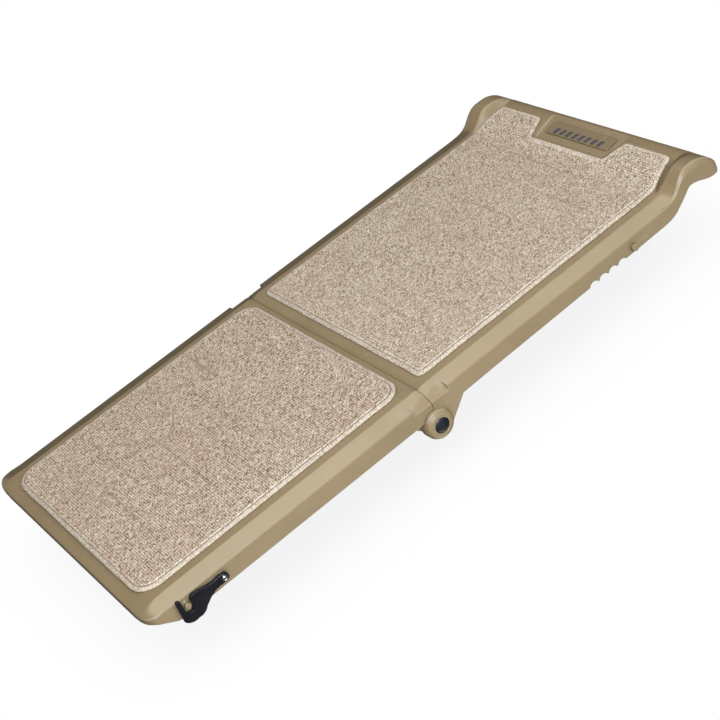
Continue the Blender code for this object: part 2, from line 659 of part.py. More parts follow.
def build_patches():
    for body in ("upper", "lower"):
        for number, (x, y) in enumerate(patch_places(body), 1):
            low = DECK_Z - PATCH_POCKET + GAP
            box = ((x - PATCH_SIZE[0] / 2, y - PATCH_SIZE[1] / 2, low),
                   (x + PATCH_SIZE[0] / 2, y + PATCH_SIZE[1] / 2, low + PATCH_THICKNESS))
            name = f"{body}_carpet_tape_{number}"
            add_object(name, boxes_mesh(name, [box]), FASTENER, body)


def build_rubber():
    under_nose = GROUND_BOTTOM_LINE[0][1]
    box = ((GROUND_X, -0.207, under_nose - 0.0032), (GROUND_X + 0.0078, 0.207, under_nose - GAP))
    strip = boxes_mesh("ground_grip_strip", [box])
    add_object("ground_grip_strip", strip, RUBBER, "lower")
    for side, sign in SIDES:
        low, high = side_range(sign, 0.020, 0.190)
        name = f"lip_grip_{side}"
        box = ((0.5060, low, 0.0183), (0.5135, high, 0.0205))
        add_object(name, boxes_mesh(name, [box]), RUBBER, "upper")


# ---------------------------------------------------------------- hinge hardware
def build_hinge(side, sign):
    pin = [(0, 0.2494), (0.0068, 0.2494), (0.0076, 0.2486), (0.0076, 0.2428), (PIN_RADIUS, 0.2428),
           (PIN_RADIUS, 0.2085), (0.0052, 0.2077), (0, 0.2077)]
    turned_part(f"hinge_pin_{side}", pin, STEEL, PIN_X, PIN_Z, sign)
    cap = [(0, 0.2534), (0.0040, 0.2532), (0.0078, 0.2525), (0.0098, 0.2516), (CAP_RADIUS, 0.2506),
           (CAP_RADIUS, 0.2500), (0, 0.2500)]
    turned_part(f"hinge_cap_{side}", cap, BLACK_PLASTIC, PIN_X, PIN_Z, sign, steps=44)
    washer = [(0.0063, 0.2333), (0.0125, 0.2333), (0.0125, 0.2309), (0.0063, 0.2309)]
    turned_part(f"hinge_washer_{side}", washer, NYLON, PIN_X, PIN_Z, sign)
    bush = [(0.0063, 0.2304), (0.0085, 0.2304), (0.0085, 0.2208), (0.0063, 0.2208)]
    turned_part(f"hinge_bush_{side}", bush, NYLON, PIN_X, PIN_Z, sign, "lower")
    end_washer = [(0.0063, 0.2203), (0.0115, 0.2203), (0.0115, 0.2189), (0.0063, 0.2189)]
    turned_part(f"hinge_end_washer_{side}", end_washer, STEEL, PIN_X, PIN_Z, sign)
    nut_low, nut_high = side_range(sign, 0.2110, 0.2186)
    hexagon = arc(PIN_X, PIN_Z, 0.0105, 0, 300, 5)
    nut = add_object(f"hinge_nut_{side}", plate_mesh("nut", hexagon, nut_low, nut_high, "xz"), STEEL, "upper")
    bevel = nut.modifiers.new("edges", "BEVEL")
    bevel.width = 0.0008
    bevel.segments = 2
    bevel.limit_method = "ANGLE"
    thread_low, thread_high = side_range(sign, 0.205, 0.225)
    cut(nut, f"nut_thread_{side}", rods_mesh("thread", [(PIN_X, PIN_Z, thread_low, thread_high, 0.0063)]),
        "upper")


# ---------------------------------------------------------------- side latch
def hook_outline():
    """The latch hook, parked: it points to the ground end and its mouth opens upwards."""
    reach = HOOK_REACH
    tip_u = reach + MOUTH_RADIUS + 0.0029
    seat_v = -0.0035
    outline = arc(0, 0, 0.0066, 75, -75, 8)
    outline += [(-0.010, -0.0064), (-0.017, -0.0072), (-0.026, -0.0108), (-0.0345, -0.0165)]
    outline += [(-0.0395, -0.0215), (-0.0460, -0.0240)]
    outline += arc(-reach, -0.0085, 0.0155, -75, -150, 8)
    outline += [(-tip_u - 0.0034, 0.0030)]
    outline += arc(-tip_u, 0.0115, 0.0029, 180, 0, 8)
    outline += arc(-reach, seat_v, MOUTH_RADIUS, 180, 360, 12)
    outline += [(-reach + MOUTH_RADIUS, 0.0050), (-0.0465, 0.0092), (-0.0435, 0.0104)]
    outline += [(-0.0350, 0.0092), (-0.0230, 0.0062), (-0.0140, 0.0048), (-0.0060, 0.0062)]
    return outline


def build_latch():
    body = "hook"
    sign = dict(SIDES)[LATCH_SIDE]
    low, high = side_range(sign, 0.2452, 0.2452 + HOOK_THICKNESS)
    outline = [(u + PIVOT_X, v + PIVOT_Z) for u, v in hook_outline()]
    hook = add_object("latch_hook", plate_mesh("hook", outline, low, high, "xz"), BLACK_PLASTIC, body)
    bevel = hook.modifiers.new("edges", "BEVEL")
    bevel.width = 0.0007
    bevel.segments = 2
    bevel.limit_method = "ANGLE"
    bevel.angle_limit = math.radians(50)
    low, high = side_range(sign, 0.240, 0.255)
    cut(hook, "hook_eye", rods_mesh("eye", [(PIVOT_X, PIVOT_Z, low, high, 0.0027)], 24), body)
    washer = [(0.0026, 0.2449), (0.0060, 0.2449), (0.0060, 0.2439), (0.0026, 0.2439)]
    turned_part("latch_washer", washer, NYLON, PIVOT_X, PIVOT_Z, sign, "lower", 32)
    screw = [(0, 0.2528), (0.0018, 0.2526), (0.0034, 0.2519), (0.0042, 0.2508), (0.0042, 0.2500),
             (0.0022, 0.2500), (0.0022, 0.2325), (0.0014, 0.2310), (0, 0.2310)]
    turned_part("latch_screw", screw, STEEL, PIVOT_X, PIVOT_Z, sign, "lower", 32)


build_upper_panel()
build_lower_panel()
build_upper_carpet()
build_lower_carpet()
build_name_plate()
build_patches()
build_rubber()
for side_name, side_sign in SIDES:
    build_hinge(side_name, side_sign)
build_latch()
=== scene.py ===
"""Looks of the folding dog ramp: moulded tan panels, loop carpets, a name plate, a hinge and a latch.

World axes: +X up the ramp to the lip, +Y to its left side, +Z up out of the treads. Lengths are in metres.
"""

import math

import bmesh
import bpy
import numpy as np
from mathutils import Matrix, Vector
from mathutils.bvhtree import BVHTree
from mathutils.geometry import delaunay_2d_cdt
from mathutils.kdtree import KDTree


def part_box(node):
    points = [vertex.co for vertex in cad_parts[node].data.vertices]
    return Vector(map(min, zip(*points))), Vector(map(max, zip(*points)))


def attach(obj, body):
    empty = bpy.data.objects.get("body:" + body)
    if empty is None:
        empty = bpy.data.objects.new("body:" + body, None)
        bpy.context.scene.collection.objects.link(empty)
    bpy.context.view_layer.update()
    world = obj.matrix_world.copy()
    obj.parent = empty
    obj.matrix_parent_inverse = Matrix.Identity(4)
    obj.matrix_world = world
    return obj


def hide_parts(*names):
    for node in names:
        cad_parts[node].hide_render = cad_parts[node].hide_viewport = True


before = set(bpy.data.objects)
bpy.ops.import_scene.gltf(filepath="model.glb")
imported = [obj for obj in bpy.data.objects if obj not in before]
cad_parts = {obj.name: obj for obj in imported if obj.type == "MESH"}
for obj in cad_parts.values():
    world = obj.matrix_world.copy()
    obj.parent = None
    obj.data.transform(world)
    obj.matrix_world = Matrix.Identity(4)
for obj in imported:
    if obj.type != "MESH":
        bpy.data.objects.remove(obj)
bpy.context.view_layer.update()

MM = 0.001
EDGE_ROUNDING = 2.0 * MM      # how far the looks of moulded edges are rounded
CORNER_SHADE_REACH = 7 * MM           # how far painted shade reaches out from a corner
SLOPE_PAINTED_HIGHLIGHT = 0.34          # share of painted highlight on the sloping faces of crowned plastic
SHARP_ANGLE = 50.0            # degrees between faces that meet in a sharp edge


# ---------------------------------------------------------------- materials

class Shader:
    """A material made of nodes, with short calls for the nodes that the looks need."""

    def __init__(self, name, roughness=0.5, **fixed):
        self.material = bpy.data.materials.new(name)
        self.material.use_nodes = True
        self.tree = self.material.node_tree
        self.bsdf = self.tree.nodes["Principled BSDF"]
        self.bsdf.inputs["Roughness"].default_value = roughness
        for socket, value in fixed.items():
            self.bsdf.inputs[socket.replace("_", " ")].default_value = value
        self.coords = self.tree.nodes.new("ShaderNodeTexCoord").outputs["Object"]

    def link(self, source, socket):
        """Joins a node's output, or puts a plain value, on a socket."""
        if isinstance(source, bpy.types.NodeSocket):
            self.tree.links.new(source, socket)
        else:
            socket.default_value = source

    def node(self, kind, settings=None, **inputs):
        made = self.tree.nodes.new(kind)
        for key, value in (settings or {}).items():
            setattr(made, key, value)
        for key, value in inputs.items():
            self.link(value, made.inputs[key.replace("_", " ")])
        return made

    def stretched(self, sx, sy, sz, turn=0.0):
        """Object coordinates stretched along each axis, after a turn about Z."""
        mapping = self.node("ShaderNodeMapping", Vector=self.coords, Scale=(sx, sy, sz))
        mapping.inputs["Rotation"].default_value = (0, 0, turn)
        return mapping.outputs["Vector"]

    def noise(self, scale, detail=3.0, rough=0.55, vector=None):
        return self.node("ShaderNodeTexNoise", Vector=vector or self.coords, Scale=scale, Detail=detail,
                         Roughness=rough).outputs["Fac"]

    def voronoi(self, scale, output="Distance"):
        return self.node("ShaderNodeTexVoronoi", Vector=self.coords, Scale=scale).outputs[output]

    def attribute(self, name):
        return self.node("ShaderNodeAttribute", {"attribute_name": name}).outputs["Fac"]

    def spread(self, value, low, high, out_low=0.0, out_high=1.0):
        """The value, stretched from one span to another and held inside it."""
        made = self.tree.nodes.new("ShaderNodeMapRange")
        for index, part in enumerate((value, low, high, out_low, out_high)):
            self.link(part, made.inputs[index])
        return made.outputs["Result"]

    def math(self, operation, first, second=0.0, third=0.0):
        made = self.tree.nodes.new("ShaderNodeMath")
        made.operation = operation
        for index, part in enumerate((first, second, third)):
            self.link(part, made.inputs[index])
        return made.outputs["Value"]

    def ramp(self, value, *stops):
        made = self.node("ShaderNodeValToRGB", Fac=value)
        elements = made.color_ramp.elements
        while len(elements) < len(stops):
            elements.new(0.5)
        for element, (place, colour) in zip(elements, stops):
            element.position = place
            element.color = (*colour, 1.0)
        return made.outputs["Color"]

    def mix(self, factor, first, second, blend="MIX"):
        made = self.tree.nodes.new("ShaderNodeMix")
        made.data_type, made.blend_type = "RGBA", blend
        self.link(factor, made.inputs[0])
        for index, part in ((6, first), (7, second)):
            if isinstance(part, tuple):
                part = (*part, 1.0)
            self.link(part, made.inputs[index])
        return made.outputs[2]

    def occlusion(self, distance, samples=4):
        return self.node("ShaderNodeAmbientOcclusion", {"samples": samples}, Distance=distance).outputs["AO"]

    def edges(self, rounded):
        """1 where a rounded normal turns away from the form's own, so on edges, and 0 on flat faces."""
        flat = self.node("ShaderNodeNewGeometry").outputs["Normal"]
        dot = self.node("ShaderNodeVectorMath", {"operation": "DOT_PRODUCT"})
        self.link(rounded, dot.inputs[0])
        self.link(flat, dot.inputs[1])
        return self.spread(dot.outputs["Value"], 0.985, 0.85)

    def crowned(self, rounded, amount):
        """A normal leaned outward on faces sloping a little to one side, and where those faces are."""
        own = self.node("ShaderNodeTexCoord").outputs["Normal"]
        split = self.node("ShaderNodeSeparateXYZ", Vector=own)
        side = split.outputs["Y"]
        steep = self.math("ABSOLUTE", side)
        tilted, not_wall = self.spread(steep, 0.07, 0.14), self.spread(steep, 0.45, 0.65, 1.0, 0.0)
        share = self.math("MULTIPLY", tilted, not_wall)
        share = self.math("MULTIPLY", share, self.spread(split.outputs["Z"], 0.55, 0.75))
        lean = self.math("MULTIPLY", self.math("MULTIPLY", self.math("SIGN", side), share), amount)
        sideways = self.node("ShaderNodeCombineXYZ", Y=lean).outputs["Vector"]
        to_world = {"vector_type": "VECTOR", "convert_from": "OBJECT", "convert_to": "WORLD"}
        sideways = self.node("ShaderNodeVectorTransform", to_world, Vector=sideways).outputs["Vector"]
        total = self.node("ShaderNodeVectorMath", {"operation": "ADD"})
        self.link(rounded, total.inputs[0])
        self.link(sideways, total.inputs[1])
        unit = self.node("ShaderNodeVectorMath", {"operation": "NORMALIZE"}, Vector=total.outputs["Vector"])
        return unit.outputs["Vector"], share

    def bump(self, height, strength, distance, below=None):
        made = self.node("ShaderNodeBump", Height=height, Strength=strength, Distance=distance)
        if below is not None:
            self.link(below, made.inputs["Normal"])
        return made.outputs["Normal"]

    def finish(self, colour=None, roughness=None, normal=None):
        for source, name in ((colour, "Base Color"), (roughness, "Roughness"), (normal, "Normal")):
            if source is not None:
                self.link(source, self.bsdf.inputs[name])
        return self.material


def moulded_plastic(name, light, dark, wear_and_highlight, roughness, pebble=1.0, edge_wear_and_highlight_amount=0.55, crown=0.0):
    """Moulded plastic: mottled, finely pebbled, lighter on its edges from rubbing and from painted highlight,
    with painted shade in its corners.

    A crown above 0 makes gently sloping side faces look rounded over, with a painted highlight on them too.
    """
    s = Shader(name, roughness)
    mottle = s.noise(7.0, 4.0, 0.6)
    speck = s.noise(900.0, 2.0, 0.5)
    base = s.ramp(s.math("ADD", s.math("MULTIPLY", mottle, 0.75), s.math("MULTIPLY", speck, 0.25)),
                  (0.36, dark), (0.64, light))
    scuffs = s.spread(s.noise(55.0, 6.0, 0.7, s.stretched(0.35, 1.6, 1.0, 0.5)), 0.60, 0.74, 0.0, 0.30)
    base = s.mix(scuffs, base, wear_and_highlight)
    rounded = s.node("ShaderNodeBevel", {"samples": 6}, Radius=EDGE_ROUNDING).outputs["Normal"]
    # The edges are lighter: partly rubbed plastic, partly a painted highlight where rounded edges would catch
    # the lamps.
    uneven = s.spread(s.noise(60.0, 3.0), 0.35, 0.65, 0.3 * edge_wear_and_highlight_amount, edge_wear_and_highlight_amount)
    edge_wear_and_highlight = s.math("MULTIPLY", s.edges(rounded), uneven)
    base = s.mix(edge_wear_and_highlight, base, wear_and_highlight)
    if crown:
        # Painted highlight: the sloping side faces are mixed toward the lighter colour, as if they caught
        # more light.
        rounded, sloping = s.crowned(rounded, crown)
        base = s.mix(s.math("MULTIPLY", sloping, SLOPE_PAINTED_HIGHLIGHT), base, wear_and_highlight)
    # Painted shade: the colour is darkened where ambient occlusion finds corners and recesses.
    corner_shade = s.spread(s.occlusion(CORNER_SHADE_REACH), 0.25, 0.95, 0.42, 1.0)
    base = s.mix(1.0, base, s.ramp(corner_shade, (0.0, (0.0, 0.0, 0.0)), (1.0, (1.0, 1.0, 1.0))), "MULTIPLY")
    gloss = s.math("ADD", s.spread(s.noise(28.0, 5.0, 0.6), 0.3, 0.7, roughness - 0.08, roughness + 0.10),
                   s.math("MULTIPLY", edge_wear_and_highlight, -0.12))
    grain = s.voronoi(950.0)
    normal = s.bump(s.math("ADD", grain, s.noise(1500.0, 2.0)), 0.16 * pebble, 0.25 * MM, rounded)
    normal = s.bump(s.noise(16.0, 2.0, 0.4), 0.18, 1.2 * MM, normal)
    return s.finish(base, gloss, normal)


TAN_LIGHT = (0.412, 0.305, 0.163)
TAN_DARK = (0.355, 0.260, 0.135)
# A lighter tan for scuffs and rubbed edges, and for the painted highlights on edges and sloping faces.
TAN_WEAR_AND_HIGHLIGHT = (0.60, 0.49, 0.33)
tan = moulded_plastic("tan_moulded", TAN_LIGHT, TAN_DARK, TAN_WEAR_AND_HIGHLIGHT, 0.42, 0.7, 0.95, 0.48)
# The name plate is the same tan plastic, given darker colours here as painted shade.
plate = moulded_plastic("plate_painted_shade", (0.34, 0.245, 0.135), (0.295, 0.21, 0.115), TAN_WEAR_AND_HIGHLIGHT, 0.46)
black = moulded_plastic("black_moulded", (0.011, 0.012, 0.018), (0.006, 0.0065, 0.010),
                        (0.035, 0.035, 0.045), 0.40)
bar_grey = moulded_plastic("bar_moulded", (0.095, 0.098, 0.110), (0.065, 0.068, 0.080),
                           (0.20, 0.19, 0.18), 0.45)
cap_grey = moulded_plastic("cap_moulded", (0.020, 0.022, 0.030), (0.012, 0.013, 0.018),
                           (0.06, 0.06, 0.08), 0.42)


def rubber_material():
    s = Shader("black_rubber_looks", 0.7)
    dirt = s.noise(90.0, 5.0, 0.65)
    colour = s.ramp(dirt, (0.35, (0.010, 0.010, 0.012)), (0.75, (0.045, 0.042, 0.038)))
    normal = s.bump(s.noise(1800.0, 2.0), 0.25, 0.2 * MM)
    return s.finish(colour, s.spread(dirt, 0.3, 0.7, 0.62, 0.85), normal)


def steel_material():
    s = Shader("zinc_plated_steel", 0.28, Metallic=1.0)
    grain = s.noise(420.0, 4.0, 0.6, s.stretched(0.15, 1.0, 1.0))
    colour = s.ramp(s.noise(130.0, 4.0), (0.3, (0.50, 0.49, 0.46)), (0.7, (0.80, 0.79, 0.76)))
    rust = s.spread(s.noise(260.0, 4.0, 0.7), 0.66, 0.78, 0.0, 0.5)
    colour = s.mix(rust, colour, (0.32, 0.22, 0.13))
    return s.finish(colour, s.spread(grain, 0.3, 0.7, 0.20, 0.42), s.bump(grain, 0.12, 0.1 * MM))


def nylon_material():
    s = Shader("natural_nylon_looks", 0.4)
    s.bsdf.inputs["Subsurface Weight"].default_value = 0.15
    s.bsdf.inputs["Subsurface Scale"].default_value = 1.0 * MM
    colour = s.ramp(s.noise(180.0, 4.0), (0.3, (0.62, 0.59, 0.51)), (0.7, (0.76, 0.74, 0.67)))
    gloss = s.spread(s.noise(300.0), 0.3, 0.7, 0.32, 0.5)
    return s.finish(colour, gloss, s.bump(s.noise(900.0), 0.1, 0.1 * MM))


def tape_material():
    s = Shader("woven_hook_tape", 0.8)
    cells = s.voronoi(800.0)
    colour = s.ramp(cells, (0.0, (0.07, 0.07, 0.072)), (0.6, (0.012, 0.012, 0.013)))
    return s.finish(colour, s.spread(cells, 0.0, 0.6, 0.7, 0.9), s.bump(cells, 0.8, 0.6 * MM))


rubber = rubber_material()
steel = steel_material()
nylon = nylon_material()
tape = tape_material()


def carpet_material(name, hollow, middle, crown, warm):
    """Loop pile: the tone of each loop is on the mesh, with painted light on the loops' tops and painted
    shade in their hollows, and the yarn's twist and flecks come from nodes.
    """
    s = Shader(name, 0.92, Sheen_Weight=0.18, Sheen_Roughness=0.45)
    s.bsdf.inputs["Specular IOR Level"].default_value = 0.25
    tone, border, stitch, crease = (s.attribute(k) for k in ("tone", "border", "stitch", "crease"))
    fleck = s.voronoi(620.0, output="Color")
    fleck = s.node("ShaderNodeSeparateColor", Color=fleck).outputs["Red"]
    fibre = s.noise(2600.0, 3.0, 0.6)
    level = s.math("ADD", s.math("MULTIPLY", tone, 1.05), s.math("MULTIPLY", fleck, 0.24))
    level = s.math("ADD", level, s.math("MULTIPLY_ADD", fibre, 0.16, -0.20))
    # The hollow colour is painted shade in the pile's depths, and the crown colour is painted light on its
    # tops.
    pile = s.ramp(level, (0.12, hollow), (0.50, middle), (0.86, crown))
    patches = s.spread(s.noise(9.0, 4.0, 0.62, s.stretched(1.0, 0.6, 1.0)), 0.42, 0.68, 0.0, 0.42)
    reddish = s.math("MULTIPLY", patches, s.spread(s.noise(330.0, 2.0), 0.42, 0.62))
    pile = s.mix(reddish, pile, warm)
    # Painted shade: the pile is darkened toward the hollow colour along the creases.
    pile = s.mix(s.math("MULTIPLY", crease, 0.55), pile, hollow)
    twist = s.noise(420.0, 3.0, 0.55, s.stretched(1.0, 0.4, 1.0, 0.8))
    thread = s.ramp(s.math("ADD", s.math("MULTIPLY", tone, 0.5), s.math("MULTIPLY", twist, 0.5)),
                    (0.25, (0.33, 0.24, 0.150)), (0.75, (0.92, 0.81, 0.63)))
    colour = s.mix(border, pile, thread)
    colour = s.mix(s.math("MULTIPLY", stitch, 0.92), colour, (0.11, 0.075, 0.05))
    normal = s.bump(fibre, 0.5, 0.4 * MM)
    normal = s.bump(s.noise(900.0, 3.0, 0.6), 0.45, 0.7 * MM, normal)
    return s.finish(colour, s.spread(fibre, 0.3, 0.7, 0.84, 0.98), normal)


# The first colour of each pile is painted shade for its hollows, and the last carries painted light on the
# loops' tops.
upper_pile = carpet_material("upper_loop_pile", (0.205, 0.138, 0.084), (0.735, 0.555, 0.385),
                             (1.0, 0.92, 0.75), (0.60, 0.38, 0.26))
lower_pile = carpet_material("lower_loop_pile", (0.122, 0.077, 0.045), (0.69, 0.505, 0.345),
                             (1.0, 0.90, 0.72), (0.58, 0.345, 0.235))


# ---------------------------------------------------------------- pieces

def add_piece(name, mesh, material, body, replaces=()):
    """A new object that rides on a body, takes a slot's finish and stands for the named CAD nodes."""
    mesh.materials.clear()
    mesh.materials.append(material)
    made = bpy.data.objects.new(name, mesh)
    bpy.context.scene.collection.objects.link(made)
    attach(made, body)
    if replaces:
        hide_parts(*replaces)
    return made


def smooth_copy(node, material, body):
    """The CAD node's form, joined up and shaded round over its fillets."""
    form = bmesh.new()
    form.from_mesh(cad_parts[node].data)
    bmesh.ops.remove_doubles(form, verts=form.verts, dist=1e-5)
    for face in form.faces:
        face.smooth = True
    for edge in form.edges:
        edge.smooth = edge.is_manifold and edge.calc_face_angle(math.pi) < math.radians(SHARP_ANGLE)
    mesh = bpy.data.meshes.new(f"{node}_form")
    form.to_mesh(mesh)
    form.free()
    made = add_piece(f"{node}_form", mesh, material, body, (node,))
    weighted = made.modifiers.new("weighted_normal", "WEIGHTED_NORMAL")
    weighted.keep_sharp = True


smooth_copy("upper_ramp", tan, "upper")
smooth_copy("lower_ramp", tan, "lower")
smooth_copy("name_plate", plate, "upper")
smooth_copy("latch_hook", black, "hook")
smooth_copy("latch_screw", steel, "lower")
smooth_copy("latch_washer", nylon, "lower")
for side in ("right", "left"):
    smooth_copy(f"hinge_cap_{side}", cap_grey, "upper")
    for part in ("hinge_pin", "hinge_end_washer", "hinge_nut"):
        smooth_copy(f"{part}_{side}", steel, "upper")
    smooth_copy(f"hinge_washer_{side}", nylon, "upper")
    smooth_copy(f"hinge_bush_{side}", nylon, "lower")
for node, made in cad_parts.items():
    if "tape" in node:
        made.material_slots[0].material = tape


def grip_strip(node, body, ribs):
    """A rubber strip with ribs along it, in the CAD strip's box."""
    low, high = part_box(node)
    depth = high.z - low.z
    section = [(0.0, depth), (0.0, 0.25 * depth)]
    pitch = (high.x - low.x) / ribs
    for rib in range(ribs):
        for part, level in ((0.14, 0.05), (0.30, 0.0), (0.70, 0.0), (0.86, 0.05), (1.0, 0.32)):
            section.append(((rib + part) * pitch, level * depth))
    section[-1] = (high.x - low.x, 0.25 * depth)
    section.append((high.x - low.x, depth))
    rows = max(2, round((high.y - low.y) / (4 * MM)))
    form = bmesh.new()
    rings = []
    for row in range(rows + 1):
        share = row / rows
        inset = 0.35 * MM if row in (0, rows) else 0.0
        ring = []
        for x, z in section:
            shrink = inset if z < 0.9 * depth else 0.0
            ring.append(form.verts.new((min(max(low.x + x, low.x + shrink), high.x - shrink),
                                        low.y + share * (high.y - low.y), low.z + max(z, shrink))))
        rings.append(ring)
    for near, far in zip(rings, rings[1:]):
        for index in range(len(section)):
            after = (index + 1) % len(section)
            form.faces.new((near[index], near[after], far[after], far[index]))
    form.faces.new(list(reversed(rings[0])))
    form.faces.new(rings[-1])
    bmesh.ops.recalc_face_normals(form, faces=form.faces)
    mesh = bpy.data.meshes.new(f"{node}_ribbed")
    form.to_mesh(mesh)
    form.free()
    add_piece(f"{node}_ribbed", mesh, rubber, body, (node,))


grip_strip("ground_grip_strip", "lower", 3)
grip_strip("lip_grip_right", "upper", 3)
grip_strip("lip_grip_left", "upper", 3)


def ray_tree(node):
    """A CAD node's form, ready for rays."""
    form = bmesh.new()
    form.from_mesh(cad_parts[node].data)
    tree = BVHTree.FromBMesh(form)
    form.free()
    return tree


def plate_bars():
    """A row of plain slanted grip bars on the name plate."""
    tree = ray_tree("name_plate")
    low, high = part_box("name_plate")
    form = bmesh.new()
    count, half_long, half_wide, rise = 8, 5.6 * MM, 3.6 * MM, 0.55 * MM
    pitch, slant, corners, sides = 14.2 * MM, -0.28, 0.35, 24
    middle_x = low.x + 0.30 * (high.x - low.x)
    for index in range(count):
        middle_y = (index - (count - 1) / 2) * pitch
        rings = []
        for level, inset in ((-0.3 * MM, 0.0), (rise - 0.25 * MM, 0.0), (rise, 0.3 * MM)):
            ring = []
            for turn in range(sides):
                angle = math.tau * turn / sides
                cosine, sine = math.cos(angle), math.sin(angle)
                along = math.copysign(abs(cosine) ** corners, cosine) * (half_long - inset)
                across = math.copysign(abs(sine) ** corners, sine) * (half_wide - inset)
                x, y = middle_x + along, middle_y + across + slant * along
                top = tree.ray_cast(Vector((x, y, high.z + 0.02)), Vector((0, 0, -1)))[0].z
                ring.append(form.verts.new((x, y, top + level)))
            rings.append(ring)
        for near, far in zip(rings, rings[1:]):
            for turn in range(sides):
                after = (turn + 1) % sides
                form.faces.new((near[turn], near[after], far[after], far[turn]))
        form.faces.new(list(reversed(rings[0])))
        form.faces.new(rings[-1])
    bmesh.ops.recalc_face_normals(form, faces=form.faces)
    mesh = bpy.data.meshes.new("plate_bars")
    form.to_mesh(mesh)
    form.free()
    add_piece("plate_bars", mesh, bar_grey, "upper")


plate_bars()


# ---------------------------------------------------------------- carpets

STEP_ALONG = 1.4 * MM     # spacing of points along a carpet's edge
ROW = 1.65 * MM           # half the spacing of rows of loops, along X
LOOP = 1.30 * MM          # half the spacing of loops in a row, along Y
# Rings from the edge inward, as distance in and height over the backing, in mm: serged border, plain cut.
SERGED = ((0.0, 1.2), (0.4, 2.2), (1.3, 3.0), (2.6, 3.7), (3.9, 4.1), (4.7, 4.1), (5.3, 2.6), (6.7, 2.5),
          (7.5, 4.4), (8.8, 4.9))
CUT = ((0.0, 2.6), (0.3, 4.1), (0.7, 4.7), (1.2, 4.9), (1.7, 4.9), (2.2, 4.9), (2.6, 4.9), (3.0, 4.9),
       (3.5, 4.9), (4.1, 4.9))
STITCH_RINGS = (6, 7)
RING_GAP = 1.05 * MM      # least room between the innermost ring and the lattice
BACKING_MARGIN = 14 * MM  # least room between the innermost ring and the backing's lattice


def rounded_outline(corners):
    """Points, inward normals and border shares round a shape with corners (x, y, radius, border share)."""
    count = len(corners)
    arcs = []
    for index, (x, y, radius, share) in enumerate(corners):
        here = Vector((x, y))
        before = (Vector(corners[index - 1][:2]) - here).normalized()
        after = (Vector(corners[(index + 1) % count][:2]) - here).normalized()
        half = before.angle(after) / 2
        reach = radius / math.tan(half)
        middle = here + (before + after).normalized() * (radius / math.sin(half))
        arcs.append((here + before * reach, here + after * reach, middle, radius, share))
    points, inward, shares = [], [], []
    for index, (start, end, middle, radius, share) in enumerate(arcs):
        first, last = start - middle, end - middle
        turn = -first.angle_signed(last)
        steps = max(2, round(abs(turn) * radius / STEP_ALONG))
        for step in range(steps):
            angle = turn * step / steps
            spoke = Vector((first.x * math.cos(angle) - first.y * math.sin(angle),
                            first.x * math.sin(angle) + first.y * math.cos(angle)))
            points.append(middle + spoke)
            inward.append(-spoke.normalized() if turn > 0 else spoke.normalized())
            shares.append(share)
        target, _, _, _, next_share = arcs[(index + 1) % count]
        run = target - end
        steps = max(1, round(run.length / STEP_ALONG))
        normal = Vector((-run.y, run.x)).normalized()
        for step in range(steps):
            points.append(end + run * (step / steps))
            inward.append(normal)
            shares.append(share + (next_share - share) * step / steps)
    return np.array(points), np.array(inward), np.array(shares)


def inside(points, outline):
    """True for each point inside a closed outline."""
    result = np.zeros(len(points), bool)
    x, y = points[:, 0], points[:, 1]
    ends = np.roll(outline, -1, 0)
    for (x1, y1), (x2, y2) in zip(outline, ends):
        crosses = (y1 > y) != (y2 > y)
        result ^= crosses & (x < x1 + (y - y1) * (x2 - x1) / (y2 - y1 if y2 != y1 else 1.0))
    return result


def surface_line(node):
    """Points along X on a CAD carpet's underside, as places and heights, from rays through the node."""
    tree = ray_tree(node)
    low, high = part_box(node)
    xs, zs = [], []
    for x in np.arange(low.x + 1.0 * MM, high.x - 0.5 * MM, 1.0 * MM):
        hit = tree.ray_cast(Vector((x, 0.15, low.z - 0.05)), Vector((0, 0, 1)))
        if hit[0] is not None:
            xs.append(x)
            zs.append(hit[0].z)
    return np.array(xs), np.array(zs)


class Parts:
    """The points of a carpet and the values on them, gathered part by part."""

    def __init__(self):
        self.plan, self.values = [], {key: [] for key in ("height", "tone", "border", "stitch", "crease")}

    def add(self, plan, **values):
        self.plan.append(plan)
        for key, parts in self.values.items():
            parts.append(np.zeros(len(plan)) + values.get(key, 0.0))

    def joined(self, key):
        return np.concatenate(self.values[key])


def edge_rings(parts, edge, inward, share, draw):
    """The rings along a carpet's edge. Returns the innermost one's points."""
    count = len(edge)
    for ring, ((d_serged, h_serged), (d_cut, h_cut)) in enumerate(zip(SERGED, CUT)):
        reach = (share * d_serged + (1 - share) * d_cut) * MM
        level = (share * h_serged + (1 - share) * h_cut) * MM
        serged = ring < STITCH_RINGS[0]
        wrap = np.sin(np.arange(count) * math.pi * 0.73 + ring * 0.9)
        level = level + share * wrap * (0.30 * MM if 0 < ring and serged else 0.06 * MM)
        level = level + draw.normal(0, 0.12 * MM, count)
        plan = edge + inward * reach[:, None]
        facing = np.abs(inward[:, 1])
        # The tone follows the wrap that lifts the rings: painted light on the raised wraps, painted shade
        # between them, with random tone on top.
        parts.add(plan, height=level, tone=0.62 + 0.18 * wrap + draw.normal(0, 0.24, count),
                  border=share * (0.45 + 0.55 * facing) * serged,
                  stitch=share * (0.55 + 0.45 * facing) * (ring in STITCH_RINGS))
    return plan


def ring_faces(count):
    """Quads between neighbouring rings of the edge."""
    faces = []
    for ring in range(len(SERGED) - 1):
        start = ring * count
        for index in range(count):
            after = (index + 1) % count
            faces.append((start + index, start + after, start + count + after, start + count + index))
    return faces


